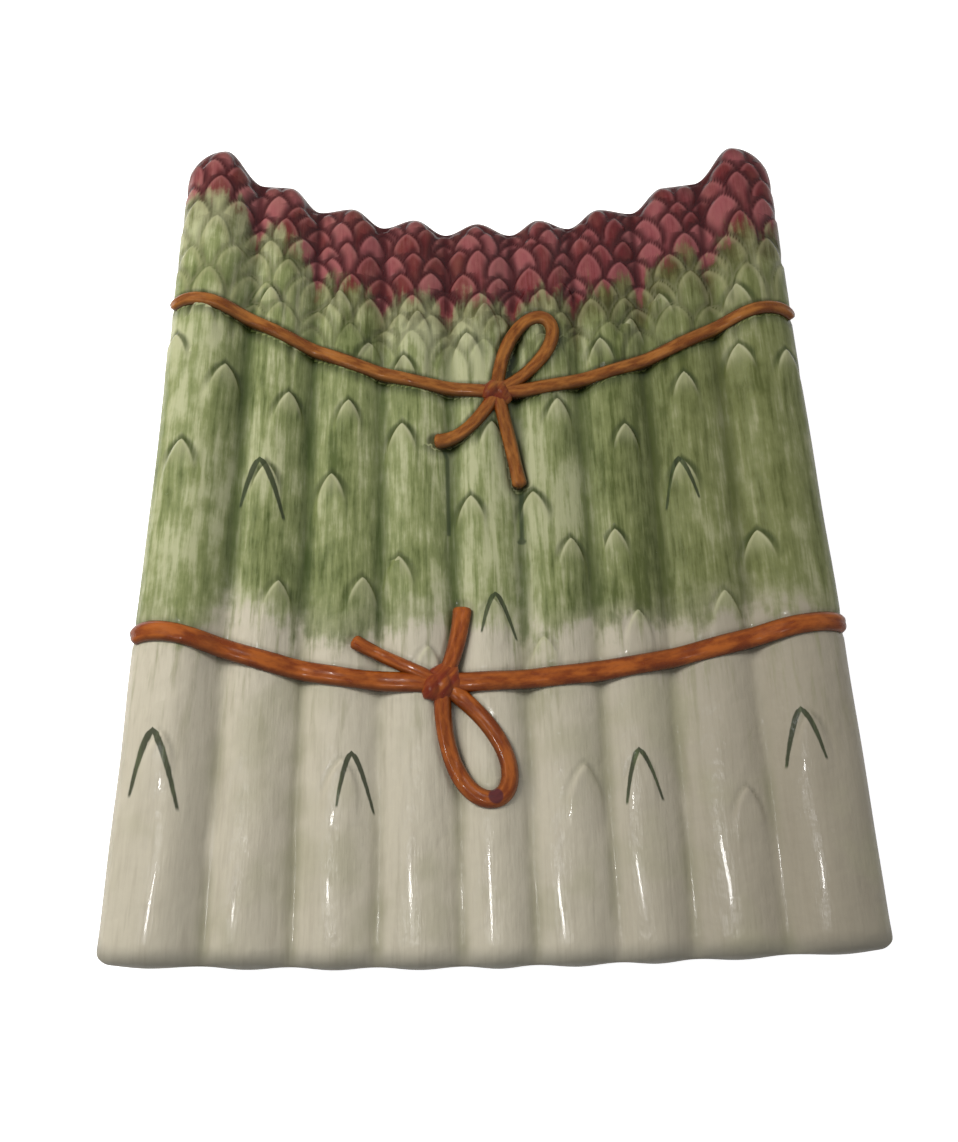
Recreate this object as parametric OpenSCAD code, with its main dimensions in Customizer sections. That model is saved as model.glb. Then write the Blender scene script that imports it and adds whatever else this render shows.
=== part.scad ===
// Asparagus plate: a moulded bundle of spears on a foot ring, tied twice with clay cord.
// Millimetres. X runs across the spears, Y runs along them to the tips, Z is up from the table.

/* [Plate] */
// Length from the butt edge to the outermost tips
plate_l = 270; // [230:1:300]
// Width across the butt ends
butt_w = 232; // [205:1:255]
// Width across the tips
tip_w = 199; // [175:1:220]
// Clay thickness under the grooves
wall_t = 5.3; // [4.5:0.1:7]
// Height of a spear above the grooves beside it
flute_h = 3.2; // [2.4:0.1:4]
// Rise of the dished sides above the flat well
rim_rise = 13; // [8:0.5:17]
// Fall of an outer spear from its crest to the side edge
rim_drop = 7.5; // [6:0.5:9]

/* [Butt edge] */
// Length of the rounding at the butt edge
edge_r = 7; // [5:0.5:10]
// Height of the outline above the underside
edge_up = 4; // [3.2:0.1:5]
// Height of the upright band between the two roundings
edge_band = 1.5; // [0.8:0.1:2.2]
// Rounding under the edge
under_r = 4; // [2:0.5:6]
// Radius of the two corners, in plan
corner_r = 5; // [3:0.5:8]
// How far the middle of the butt edge bows out past the corners
butt_bow = 3; // [1:0.5:6]
// How far each butt end swells past the grooves beside it
butt_swell = 0.8; // [0.4:0.1:1.4]

/* [Tips] */
// How far the middle tip lies behind the outer ones
tip_sag = 24; // [12:1:32]
// Depth of the notches between the tips
notch_d = 4.5; // [3:0.5:7]
// Length of the rounding over a tip
tip_r = 9; // [6:0.5:12]
// How far the outer shoulders lie behind the outermost tips
shoulder_d = 13; // [9:0.5:18]

/* [Foot ring] */
// Height of the foot ring
foot_h = 6; // [4.5:0.5:8]
// Width of the ring's section
foot_w = 6; // [4:0.5:9]
// From the butt edge to the ring
foot_back = 48; // [36:1:70]
// From the middle tip back to the ring
foot_front = 46; // [36:1:70]
// How far the ring keeps inside the flat well
foot_inset = 3; // [1:0.5:6]
// Outer radius of the ring's corners
foot_corner_r = 16; // [10:1:24]

/* [Scales] */
// Width of a scale on the spears
bract_w = 11.5; // [9:0.5:14]
// Length of a scale on the spears
bract_l = 18; // [13:0.5:22]
// Width of a scale at the foot of a head
head_scale_w = 9.5; // [7:0.5:11]
// Length of a scale at the foot of a head
head_scale_l = 13; // [9:0.5:16]
// How far the scales stand proud at their points
scale_h = 0.9; // [0.5:0.1:1.4]
// Length of a head, from its first scale to its tip
head_l = 42; // [32:1:50]
// How deep the scales are rooted, except at the tips
scale_root_d = 2.4; // [1.6:0.1:3]

/* [Upper tie] */
// From the butt edge to the upper knot
upper_knot_y = 181.5; // [165:0.5:195]
// Upper knot from the middle, to the right
upper_knot_x = 4; // [-8:1:12]
// How far the left end of the upper tie lies ahead of its knot
upper_left_sag = 30; // [15:1:34]
// How far the right end of the upper tie lies ahead of its knot
upper_right_sag = 25; // [15:1:32]
// Width of the upper tie
upper_tie_w = 4.6; // [3.6:0.1:5.6]
// Height of the upper tie above the spears
upper_tie_h = 1.6; // [1.1:0.1:2.2]
// Length of the upper knot, across the plate
upper_knot_l = 11; // [9:0.5:14]
// Width of the upper knot, along the plate
upper_knot_w = 8.5; // [7:0.5:11]
// Height of the upper knot above the spears
upper_knot_h = 3; // [2.2:0.1:4]
// Reach of the upper loop
upper_loop_l = 31; // [24:1:38]
// Width of the upper loop, between the middles of its strands
upper_loop_w = 12.5; // [10:0.5:16]
// Reach of the left tail
upper_left_tail_l = 27; // [20:1:32]
// Reach of the right tail
upper_right_tail_l = 34; // [26:1:40]

/* [Lower tie] */
// From the butt edge to the lower knot
lower_knot_y = 84.5; // [74:0.5:96]
// Lower knot from the middle, to the left
lower_knot_x = 15; // [5:1:24]
// How far the ends of the lower tie lie ahead of its knot
lower_sag = 15; // [8:1:24]
// Width of the lower tie
lower_tie_w = 6.2; // [5:0.1:7.4]
// Height of the lower tie above the spears
lower_tie_h = 1.9; // [1.3:0.1:2.6]
// Width of the cord in the lower loop and tails
lower_cord_w = 5.4; // [4.4:0.1:6.4]
// Length of the lower knot, across the plate
lower_knot_l = 14; // [11:0.5:17]
// Width of the lower knot, along the plate
lower_knot_w = 12.5; // [10:0.5:15]
// Height of the lower knot above the spears
lower_knot_h = 3.6; // [2.6:0.1:4.6]
// Reach of the lower loop
lower_loop_l = 39; // [30:1:46]
// Width of the lower loop, between the middles of its strands
lower_loop_w = 15.5; // [12:0.5:19]
// Reach of the tail that points to the tips
lower_up_tail_l = 25; // [18:1:32]
// Reach of the tail that lies along the tie
lower_left_tail_l = 31; // [24:1:38]

/* [Seats] */
// How deep the cords sit in the spears
seat_d = 0.8; // [0.5:0.1:1.2]
// Gap between a cord and its seat
seat_gap = 0.05; // [0.02:0.01:0.15]

/* [Hidden] */

// Relative widths of the spears, left to right, at the butts and at the tips
butt_width_shares = [1.2, 1.0, 1.0, 1.0, 0.85, 0.97, 0.89, 1.05, 1.22];
tip_width_shares = [1.12, 0.89, 0.98, 0.94, 1.0, 0.89, 1.0, 1.02, 1.14];
spear_count = len(butt_width_shares);
last_spear = spear_count - 1;
// Half width of the flat well, and how fast the sides then rise
well_share = 0.5;
dish_power = 1.6;
// How far a cord keeps out of the grooves that it crosses
bridge_share = 0.45;
// Where the rings of a tie stand on a spear, and how far round the outer flank
tie_shares = [0.1, 0.37, 0.63, 0.9];
tie_flank_angles = [25, 48, 68];
// Bend of each tie in plan
upper_sag_power = 1.7;
lower_sag_power = 2.1;
// How a tie levels out over the outer spears
level_share = 0.1;
level_power = 8;
// Heading of each loop, turned from the direction of the tips
upper_loop_turn = -33;
lower_loop_turn = -155;
// Size of the end of each half of a loop, inside the other half
loop_nose_share = 0.5;

// Scales below the heads, a row for each spear: share across the spear, share of the length
bract_shares = [
    [[0.45, 0.26], [0.36, 0.61], [0.74, 0.72], [0.3, 0.79]],
    [[0.4, 0.585], [0.6, 0.69], [0.65, 0.44]],
    [[0.55, 0.23], [0.32, 0.575], [0.52, 0.675], [0.7, 0.46], [0.7, 0.76]],
    [[0.32, 0.47], [0.34, 0.645], [0.4, 0.74], [0.64, 0.36]],
    [[0.56, 0.415], [0.36, 0.545], [0.62, 0.64]],
    [[0.6, 0.22], [0.34, 0.375], [0.64, 0.49], [0.32, 0.555], [0.6, 0.66]],
    [[0.45, 0.23], [0.54, 0.4], [0.42, 0.505], [0.58, 0.635]],
    [[0.64, 0.195], [0.36, 0.585], [0.64, 0.42], [0.52, 0.7]],
    [[0.44, 0.27], [0.3, 0.49], [0.34, 0.73], [0.62, 0.79]]
];
// Rows of scales on a head, and how much smaller the last row is than the first
head_rows = 6;
head_taper_share = 0.34;
// Offsets from the middle of the spear: of the paired scales, and of the single ones
head_pair_share = 0.27;
head_single_share = 0.02;
// Outline of half a scale from its point: share of its half width, of its length, of its height
bract_rim_shares = [[0, 0, 1], [0.6, 0.18, 0.92], [0.96, 0.52, 0.6], [0.84, 1, -0.25]];
head_rim_shares = [[0, 0, 1], [0.75, 0.3, 0.9], [0.9, 1, -0.25]];
// Root of a scale, sunk in the spear under its rim: shares of its half width and of its length
scale_keel_shares = [[0, 0.06], [0.84, 0.45], [-0.84, 0.45], [0.78, 0.96], [-0.78, 0.96]];

// Bends of the tails: shares of a tail's reach, to the right and to the tips
upper_left_tail_shares = [[-0.33, -0.62], [-0.77, -0.64]];
upper_right_tail_shares = [[0.1, -0.42], [0.2, -0.98]];
lower_left_tail_shares = [[-0.42, 0.18], [-0.9, 0.44]];
lower_up_tail_shares = [[0.22, 0.47], [0.26, 0.965]];
// Half section of a cord above its seat: share of its width, share of its height
cord_shares = [[0.5, 0.3], [0.37, 0.82], [0, 1], [-0.37, 0.82], [-0.5, 0.3]];
// The same for a seat, which is open on top
seat_shares = [[0.5, 1], [-0.5, 1]];

// Steps of the surfaces
spear_steps = 6;
flank_angles = [90, 66, 44, 22];
edge_angles = [90, 62, 34, 0];
length_steps = 4;
loop_steps = 9;
tail_steps = 6;
knot_lumps = 8;
knot_fn = 8;
corner_fn = 32;

cord_brown = [0.5, 0.27, 0.09];
clay_cream = [0.77, 0.74, 0.65];
foot_buff = [0.8, 0.74, 0.64];

// Number helpers
function blend(a, b, f) = a + (b - a) * f;
function total(v, n) = n == 0 ? 0 : v[n - 1] + total(v, n - 1);
function cuts(v) = [for (j = [0 : len(v)]) total(v, j) / total(v, len(v))];
function swell(t) = (1 - cos(360 * t)) / 2;
function arc(f) = 1 - sqrt(max(0, 1 - f * f));
function rounding(d, r) = d >= r ? 1 : d <= 0 ? 0 : 1 - arc(1 - d / r);

butt_cuts = cuts(butt_width_shares);
tip_cuts = cuts(tip_width_shares);

// Places on the bundle: spear k from the left, share t across it, y along it, share s of the length
function along(y) = (y + plate_l / 2) / plate_l;
function half_w(s) = blend(butt_w, tip_w, s) / 2;
function cut_u(j, s) = 2 * blend(butt_cuts[j], tip_cuts[j], s) - 1;
function groove_x(j, s) = half_w(s) * cut_u(j, s);
function spear_x(k, t, s) = blend(groove_x(k, s), groove_x(k + 1, s), t);
function is_outer(k) = k == 0 || k == last_spear;
function outward(k, t) = k == 0 ? 1 - 2 * t : 2 * t - 1;
function inner_cut(k) = k == 0 ? 1 : last_spear;
function crest_u(k, s) = (cut_u(k, s) + cut_u(k + 1, s)) / 2;
function spear_at(x, s) = len([for (j = [1 : last_spear]) if (x > groove_x(j, s)) j]);

// Heights: the dish, the underside, the spears and the line of the outer edge
function dish(u) = rim_rise * pow(max(0, (abs(u) - well_share) / (1 - well_share)), dish_power);
function groove_z(j, s) = foot_h + wall_t + dish(cut_u(j, s));
function crest_z(k, s) = foot_h + wall_t + flute_h + dish(crest_u(k, s));
function outer_spear_z(k, o, s) = o > 0
    ? crest_z(k, s) - rim_drop * arc(o)
    : crest_z(k, s) - (crest_z(k, s) - groove_z(inner_cut(k), s)) * o * o;
function spear_z(k, t, s) = is_outer(k)
    ? outer_spear_z(k, outward(k, t), s)
    : blend(groove_z(k, s), groove_z(k + 1, s), t) + flute_h * 4 * t * (1 - t);
function outer_bed_z(crest, inner, o) = o > 0
    ? crest + (wall_t + flute_h - rim_drop - edge_band) * arc(o)
    : crest - (crest - inner) * o * o;
function bed_z(k, t, s) = foot_h + (is_outer(k)
    ? outer_bed_z(dish(crest_u(k, s)), dish(cut_u(inner_cut(k), s)), outward(k, t))
    : dish(blend(cut_u(k, s), cut_u(k + 1, s), t)));
function edge_z(k, t, s) = min(spear_z(k, t, s), bed_z(k, t, s) + edge_up);

// Outline: the butt ends and the tips
function tip_line(u) = plate_l / 2 - tip_sag * (1 - pow(u / crest_u(0, 1), 2));
function notch_y(j) = tip_line(cut_u(j, 1)) - notch_d;
function apex_y(k) = is_outer(k) ? plate_l / 2 : tip_line(crest_u(k, 1));
function end_y(k, t) = is_outer(k) && outward(k, t) > 0
    ? apex_y(k) - shoulder_d * arc(outward(k, t))
    : blend(notch_y(t < 0.5 ? k : k + 1), apex_y(k), swell(t));
function corner_cut(k, t) = let(half = half_w(0) * (1 - abs(crest_u(k, 0))))
    is_outer(k) ? corner_r * arc(max(0, outward(k, t) * half - half + corner_r) / corner_r) : 0;
function butt_y(k, t) = let(u = blend(cut_u(k, 0), cut_u(k + 1, 0), t))
    butt_bow * u * u + butt_swell * (1 - swell(t)) + corner_cut(k, t) - plate_l / 2;

// The finished skin, rounded over at both ends
function ends(k, t, y, r_butt, r_tip) = rounding(y - butt_y(k, t), r_butt) * rounding(end_y(k, t) - y, r_tip);
function top_z(k, t, y) = let(s = along(y), line = edge_z(k, t, s))
    line + (spear_z(k, t, s) - line) * ends(k, t, y, edge_r, tip_r);
function under_z(k, t, y) = let(s = along(y), low = edge_z(k, t, s) - edge_band)
    blend(low, bed_z(k, t, s), ends(k, t, y, under_r, under_r));

// A point on the skin, stood off by h; on the outer flanks the offset leans outwards
function stand_off(p, h, bridge) = let(
        s = along(p.y),
        k = spear_at(p.x, s),
        t = max(0, min(1, (p.x - groove_x(k, s)) / (groove_x(k + 1, s) - groove_x(k, s)))),
        o = is_outer(k) ? max(0, outward(k, t)) : 0,
        dip = o > 0 ? 0 : flute_h * pow(2 * t - 1, 2),
        side = k == 0 ? -1 : 1)
    [
        spear_x(k, t, s) + side * h * o,
        p.y,
        top_z(k, t, p.y) + bridge * dip + h * sqrt(1 - o * o)
    ];

// Columns of the skin from left to right, each a spear and a share across it
function flank_shares() = [for (a = flank_angles) (1 - sin(a)) / 2];
function spear_columns(k) = [for (i = [0 : spear_steps - 1]) [k, i / spear_steps]];
function inner_half(k) = [for (i = [spear_steps / 2 : spear_steps - 1]) [k, i / spear_steps]];
columns = concat(
    [for (f = flank_shares()) [0, f]],
    inner_half(0),
    [for (k = [1 : last_spear - 1]) each spear_columns(k)],
    [for (c = inner_half(0)) [last_spear, c[1] - 0.5]],
    [[last_spear, 0.5]],
    [for (i = [1 : len(flank_angles)]) [last_spear, 1 - flank_shares()[len(flank_angles) - i]]]
);

// Rows of the skin along one column, with roundings r0 and r1 at its ends
function row_ys(y0, y1, r0, r1) = concat(
    [for (a = edge_angles) y0 + r0 * (1 - sin(a))],
    [for (i = [1 : length_steps - 1]) blend(y0 + r0, y1 - r1, i / length_steps)],
    [for (i = [1 : len(edge_angles)]) y1 - r1 * (1 - sin(edge_angles[len(edge_angles) - i]))]
);
function column_ys(c, r0, r1) = row_ys(butt_y(c[0], c[1]), end_y(c[0], c[1]), r0, r1);
function top_column(c) = [for (y = column_ys(c, edge_r, tip_r))
    [spear_x(c[0], c[1], along(y)), y, top_z(c[0], c[1], y)]];
function under_column(c) = [for (y = column_ys(c, under_r, under_r))
    [spear_x(c[0], c[1], along(y)), y, under_z(c[0], c[1], y)]];

// Two triangles for the four corners of a quad
function quad(a, b, c, d) = [[a, b, c], [a, c, d]];

// Closed shell of the bundle, one column of points after another
module bundle_shell() {
    tops = [for (c = columns) each top_column(c)];
    unders = [for (c = columns) each under_column(c)];
    rows = len(tops) / len(columns);
    base = len(tops);
    far = len(columns) - 1;
    polyhedron(
        points = concat(tops, unders),
        faces = concat(
            [for (c = [0 : far - 1], r = [0 : rows - 2]) let(a = c * rows + r, b = a + rows)
                each quad(a, a + 1, b + 1, b)],
            [for (c = [0 : far - 1], r = [0 : rows - 2]) let(a = base + c * rows + r, b = a + rows)
                each quad(a, b, b + 1, a + 1)],
            [for (c = [0 : far - 1]) let(a = c * rows, b = a + rows) each quad(base + a, a, b, base + b)],
            [for (c = [0 : far - 1]) let(a = c * rows + rows - 1, b = a + rows)
                each quad(base + b, b, a, base + a)],
            [for (r = [0 : rows - 2]) each quad(base + r + 1, r + 1, r, base + r)],
            [for (r = [0 : rows - 2]) let(a = far * rows + r) each quad(base + a, a, a + 1, base + a + 1)]
        )
    );
}

// Closed tube through rings of points, as many in each ring
module tube(rings) {
    n = len(rings[0]);
    last = len(rings) - 1;
    polyhedron(
        points = [for (ring = rings) each ring],
        faces = concat(
            [for (i = [0 : last - 1], j = [0 : n - 1]) let(a = i * n + j, b = i * n + (j + 1) % n)
                each quad(a, a + n, b + n, b)],
            [for (j = [1 : n - 2]) [0, j, j + 1]],
            [for (j = [1 : n - 2]) [last * n, last * n + j + 1, last * n + j]]
        )
    );
}

// Closed cone from the first point over the others, to be filled out by hull()
module fan(points) {
    n = len(points);
    polyhedron(
        points = points,
        faces = concat(
            [for (i = [1 : n - 2]) [0, i, i + 1]],
            [[0, n - 1, 1]],
            [[for (i = [n - 1 : -1 : 1]) i]]
        )
    );
}

// One scale: its point at share t across spear k and at y, its body running back to the butts
module scale_leaf(k, t, y, w, l, shares, root) {
    place = [spear_x(k, t, along(y)), y];
    rim = [for (side = [-1, 1], p = shares)
        stand_off(place + [side * p[0] * w / 2, -p[1] * l], scale_h * p[2], 0)];
    keel = [for (p = scale_keel_shares) stand_off(place + [p[0] * w / 2, -p[1] * l], -root, 0)];
    hull()
        fan(concat(rim, keel));
}

module bracts() {
    for (k = [0 : last_spear], p = bract_shares[k])
        scale_leaf(k, p[0], p[1] * plate_l - plate_l / 2, bract_w, bract_l, bract_rim_shares, scale_root_d);
}

// Overlapping scales of a head, one and two in turn, smaller towards the tip
module head(k) {
    for (r = [0 : head_rows - 1]) {
        f = r / (head_rows - 1);
        small = 1 - head_taper_share * f;
        offsets = r % 2 == 0 ? [head_single_share] : [-head_pair_share, head_pair_share];
        for (offset = offsets) {
            t = 0.5 + offset;
            y = blend(apex_y(k) - head_l, apex_y(k) - tip_r * (1 - cos(60)) / 2, f);
            low = min(y, end_y(k, t) - scale_h);
            root = blend(scale_root_d, seat_d, f);
            scale_leaf(k, t, low, head_scale_w * small, head_scale_l * small, head_rim_shares, root);
        }
    }
}

// Cords: a tube laid over the skin along a plan route, grown by g where it cuts its seat.
// Nose is the size of its last ring, smaller where it ends inside another cord.
function heading(route, i) = let(
        a = route[max(0, i - 1)],
        b = route[min(len(route) - 1, i + 1)])
    (b - a) / norm(b - a);
function cord_ring(p, dir, w, h, g, size) = let(
        across = [-dir.y, dir.x] * (w + 2 * g) * size,
        rise = g > 0 ? h + scale_h : h)
    concat(
        [for (side = [-0.5, 0.5]) stand_off(p + across * side, -(seat_d + g) * size, 0)],
        [for (c = g > 0 ? seat_shares : cord_shares)
            stand_off(p + across * c[0], rise * c[1] * size, bridge_share)]
    );
module cord(route, w, h, g, nose = 1) {
    last = len(route) - 1;
    tube([for (i = [0 : last]) cord_ring(route[i], heading(route, i), w, h, g, i == last ? nose : 1)]);
}

// Route of half a tie, from its knot over the spears and down the outer flank
function tie_y(x, knot, reach, sag, power) = let(u = abs(x - knot.x) / abs(reach - knot.x))
    knot.y + sag * pow(u, power) * (1 - level_share * pow(u, level_power)) / (1 - level_share);
function tie_place(k, t, knot, reach, sag, power) = let(
        rough = tie_y(spear_x(k, t, along(knot.y)), knot, reach, sag, power),
        x = spear_x(k, t, along(rough)))
    [x, tie_y(x, knot, reach, sag, power)];
function band_route(side, knot, sag, power, clear) = let(
        rim_k = side < 0 ? 0 : last_spear,
        reach = spear_x(rim_k, 0.5, along(knot.y + sag)),
        over = [for (i = [0 : last_spear], share = tie_shares) let(
                k = side < 0 ? last_spear - i : i,
                t = side < 0 ? 1 - share : share)
            if (!is_outer(k) || (k == rim_k && outward(k, t) <= 0)) tie_place(k, t, knot, reach, sag, power)],
        flank = [for (a = tie_flank_angles) tie_place(rim_k, (1 + side * sin(a)) / 2, knot, reach, sag, power)])
    concat([knot], [for (p = over) if (side * (p.x - knot.x) > clear) p], flank);

// Teardrop route of a loop: half of it, from the knot to its far end, and one step past that
function loop_point(a, l, w) = [w / 2 * sin(a) * sin(a / 2) * 1.3, l * (1 - cos(a)) / 2];
function turned(p, a) = [p.x * cos(a) - p.y * sin(a), p.x * sin(a) + p.y * cos(a)];
function loop_route(knot, l, w, turn, side) =
    [for (i = [0 : loop_steps + 1]) knot + turned(loop_point(side * i * 180 / loop_steps, l, side * w), turn)];

// Route of a tail: a single bend through shares of its reach
function tail_route(knot, l, bends) = [for (i = [0 : tail_steps]) let(f = i / tail_steps)
    knot + l * (2 * f * (1 - f) * bends[0] + f * f * bends[1])];

// A knot: a domed middle with one turn of cord wrapped round it. Its seat is open on top.
module knot(place, l, w, h, cord_w, g) {
    r = cord_w / 2 + g;
    module bead(a) {
        p = place + [cos(a) * (l / 2 - cord_w / 2), sin(a) * (w / 2 - cord_w / 2)];
        for (lift = g > 0 ? [0, scale_h + seat_d] : [0])
            translate(stand_off(p, h - cord_w / 2 - seat_d + lift, bridge_share)) sphere(r = r, $fn = knot_fn);
    }
    for (i = [0 : knot_lumps - 1]) {
        hull() {
            bead(i * 360 / knot_lumps);
            bead((i + 1) * 360 / knot_lumps);
            translate(stand_off(place, -seat_d - g, 0)) sphere(r = r, $fn = knot_fn);
        }
    }
    hull() {
        for (side = [-1, 1])
            translate(stand_off(place + [side * l / 8, 0], h - cord_w / 2, bridge_share))
                sphere(r = r, $fn = knot_fn);
    }
}

upper_knot_place = [upper_knot_x, upper_knot_y - plate_l / 2];
lower_knot_place = [-lower_knot_x, lower_knot_y - plate_l / 2];

// The cords as laid, before they meet each other
module laid_upper_band(side, g) {
    sag = side < 0 ? upper_left_sag : upper_right_sag;
    cord(band_route(side, upper_knot_place, sag, upper_sag_power, upper_tie_w / 2), upper_tie_w, upper_tie_h, g);
}
module laid_lower_band(side, g) {
    cord(band_route(side, lower_knot_place, lower_sag, lower_sag_power, lower_tie_w / 2),
        lower_tie_w, lower_tie_h, g);
}
module laid_upper_loop(g) {
    for (side = [-1, 1])
        cord(loop_route(upper_knot_place, upper_loop_l, upper_loop_w, upper_loop_turn, side),
            upper_tie_w, upper_tie_h, g, loop_nose_share);
}
module laid_lower_loop(g) {
    for (side = [-1, 1])
        cord(loop_route(lower_knot_place, lower_loop_l, lower_loop_w, lower_loop_turn, side),
            lower_cord_w, lower_tie_h, g, loop_nose_share);
}
module laid_upper_tail(bends, l, g) {
    cord(tail_route(upper_knot_place, l, bends), upper_tie_w, upper_tie_h, g);
}
module laid_lower_tail(bends, l, g) {
    cord(tail_route(lower_knot_place, l, bends), lower_cord_w, lower_tie_h, g);
}
module laid_upper_knot(g) {
    knot(upper_knot_place, upper_knot_l, upper_knot_w, upper_knot_h, upper_tie_w, g);
}
module laid_lower_knot(g) {
    knot(lower_knot_place, lower_knot_l, lower_knot_w, lower_knot_h, lower_cord_w, g);
}
module upper_crossing(g) {
    laid_upper_knot(g);
    laid_upper_band(-1, g);
    laid_upper_band(1, g);
}
module lower_crossing(g) {
    laid_lower_knot(g);
    laid_lower_band(-1, g);
    laid_lower_band(1, g);
}
module seats() {
    upper_crossing(seat_gap);
    lower_crossing(seat_gap);
    laid_upper_loop(seat_gap);
    laid_lower_loop(seat_gap);
    laid_upper_tail(upper_left_tail_shares, upper_left_tail_l, seat_gap);
    laid_upper_tail(upper_right_tail_shares, upper_right_tail_l, seat_gap);
    laid_lower_tail(lower_left_tail_shares, lower_left_tail_l, seat_gap);
    laid_lower_tail(lower_up_tail_shares, lower_up_tail_l, seat_gap);
}

module spear_bundle() {
    color(clay_cream) difference() {
        union() {
            bundle_shell();
            bracts();
            for (k = [0 : last_spear])
                head(k);
        }
        seats();
    }
}

// Plan of the foot ring, drawn in by d from its outer edge
module foot_plan(d) {
    back_y = foot_back - plate_l / 2;
    front_y = plate_l / 2 - tip_sag - foot_front;
    hull() {
        for (side = [-1, 1], y = [back_y, front_y]) {
            x = well_share * half_w(along(y)) - foot_inset - foot_corner_r;
            inward = y == back_y ? foot_corner_r : -foot_corner_r;
            translate([side * x, y + inward])
                circle(r = foot_corner_r - d, $fn = corner_fn);
        }
    }
}

module foot_ring() {
    color(foot_buff) linear_extrude(height = foot_h) difference() {
        foot_plan(0);
        foot_plan(foot_w);
    }
}

module upper_band_left() {
    color(cord_brown) difference() {
        laid_upper_band(-1, 0);
        laid_upper_knot(seat_gap);
    }
}
module upper_band_right() {
    color(cord_brown) difference() {
        laid_upper_band(1, 0);
        laid_upper_knot(seat_gap);
    }
}
module upper_knot() {
    color(cord_brown) laid_upper_knot(0);
}
module upper_loop() {
    color(cord_brown) difference() {
        laid_upper_loop(0);
        upper_crossing(seat_gap);
    }
}
module upper_tail_right() {
    color(cord_brown) difference() {
        laid_upper_tail(upper_right_tail_shares, upper_right_tail_l, 0);
        upper_crossing(seat_gap);
    }
}
module upper_tail_left() {
    color(cord_brown) difference() {
        laid_upper_tail(upper_left_tail_shares, upper_left_tail_l, 0);
        upper_crossing(seat_gap);
        laid_upper_tail(upper_right_tail_shares, upper_right_tail_l, seat_gap);
    }
}
module lower_band_left() {
    color(cord_brown) difference() {
        laid_lower_band(-1, 0);
        laid_lower_knot(seat_gap);
    }
}
module lower_band_right() {
    color(cord_brown) difference() {
        laid_lower_band(1, 0);
        laid_lower_knot(seat_gap);
    }
}
module lower_knot() {
    color(cord_brown) laid_lower_knot(0);
}
module lower_loop() {
    color(cord_brown) difference() {
        laid_lower_loop(0);
        lower_crossing(seat_gap);
    }
}
module lower_tail_up() {
    color(cord_brown) difference() {
        laid_lower_tail(lower_up_tail_shares, lower_up_tail_l, 0);
        lower_crossing(seat_gap);
    }
}
module lower_tail_left() {
    color(cord_brown) difference() {
        laid_lower_tail(lower_left_tail_shares, lower_left_tail_l, 0);
        lower_crossing(seat_gap);
        laid_lower_tail(lower_up_tail_shares, lower_up_tail_l, seat_gap);
    }
}

spear_bundle();
foot_ring();
upper_band_left();
upper_band_right();
upper_knot();
upper_loop();
upper_tail_left();
upper_tail_right();
lower_band_left();
lower_band_right();
lower_knot();
lower_loop();
lower_tail_left();
lower_tail_up();
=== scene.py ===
import math

import bpy
import numpy as np
from mathutils import Matrix, Vector


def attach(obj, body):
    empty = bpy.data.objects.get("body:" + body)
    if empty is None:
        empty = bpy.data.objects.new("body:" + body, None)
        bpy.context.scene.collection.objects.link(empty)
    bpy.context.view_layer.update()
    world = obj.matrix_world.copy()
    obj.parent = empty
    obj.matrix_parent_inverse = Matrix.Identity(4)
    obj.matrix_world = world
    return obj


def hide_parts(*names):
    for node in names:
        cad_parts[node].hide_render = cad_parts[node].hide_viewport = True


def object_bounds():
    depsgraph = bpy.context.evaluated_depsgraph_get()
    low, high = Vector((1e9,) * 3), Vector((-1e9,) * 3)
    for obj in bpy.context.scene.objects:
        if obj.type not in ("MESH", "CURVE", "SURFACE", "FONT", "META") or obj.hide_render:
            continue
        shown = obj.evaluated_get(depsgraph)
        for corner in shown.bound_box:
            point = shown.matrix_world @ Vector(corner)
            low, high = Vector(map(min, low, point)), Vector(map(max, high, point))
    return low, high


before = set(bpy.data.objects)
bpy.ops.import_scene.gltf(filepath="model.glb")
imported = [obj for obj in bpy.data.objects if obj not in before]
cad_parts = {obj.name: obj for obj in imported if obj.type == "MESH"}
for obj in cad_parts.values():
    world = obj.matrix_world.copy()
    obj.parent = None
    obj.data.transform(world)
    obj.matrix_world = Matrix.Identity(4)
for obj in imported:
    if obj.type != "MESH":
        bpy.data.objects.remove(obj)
cad_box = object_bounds()

# Sizes of the plate in millimetres, as in the part's source
MM = 0.001
PLATE_L, BUTT_W, TIP_W = 270.0, 232.0, 199.0
WALL_T, FLUTE_H, RIM_RISE, RIM_DROP = 5.3, 3.2, 13.0, 7.5
EDGE_R, EDGE_UP, EDGE_BAND, UNDER_R, CORNER_R = 7.0, 4.0, 1.5, 4.0, 5.0
BUTT_BOW, BUTT_SWELL = 3.0, 0.8
TIP_SAG, NOTCH_D, TIP_R, SHOULDER_D = 24.0, 4.5, 9.0, 13.0
FOOT_H, FOOT_W, FOOT_BACK, FOOT_FRONT, FOOT_INSET, FOOT_CORNER_R = 6.0, 6.0, 48.0, 46.0, 3.0, 16.0
WELL_SHARE, DISH_POWER = 0.5, 1.6
SCALE_W, SCALE_L, SCALE_H = 9.8, 18.0, 0.85
HEAD_L = 42.0
LAST = 8
BUTT_WIDTHS = [1.2, 1.0, 1.0, 1.0, 0.85, 0.97, 0.89, 1.05, 1.22]
TIP_WIDTHS = [1.12, 0.89, 0.98, 0.94, 1.0, 0.89, 1.0, 1.02, 1.14]
UPPER_KNOT = np.array([4.0, 181.5 - PLATE_L / 2])
LOWER_KNOT = np.array([-15.0, 84.5 - PLATE_L / 2])
LOOP_SPOT = LOWER_KNOT + np.array([15.6, -35.0])
BRIDGE = 0.72
LEVEL_SHARE, LEVEL_POWER = 0.1, 8

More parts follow.
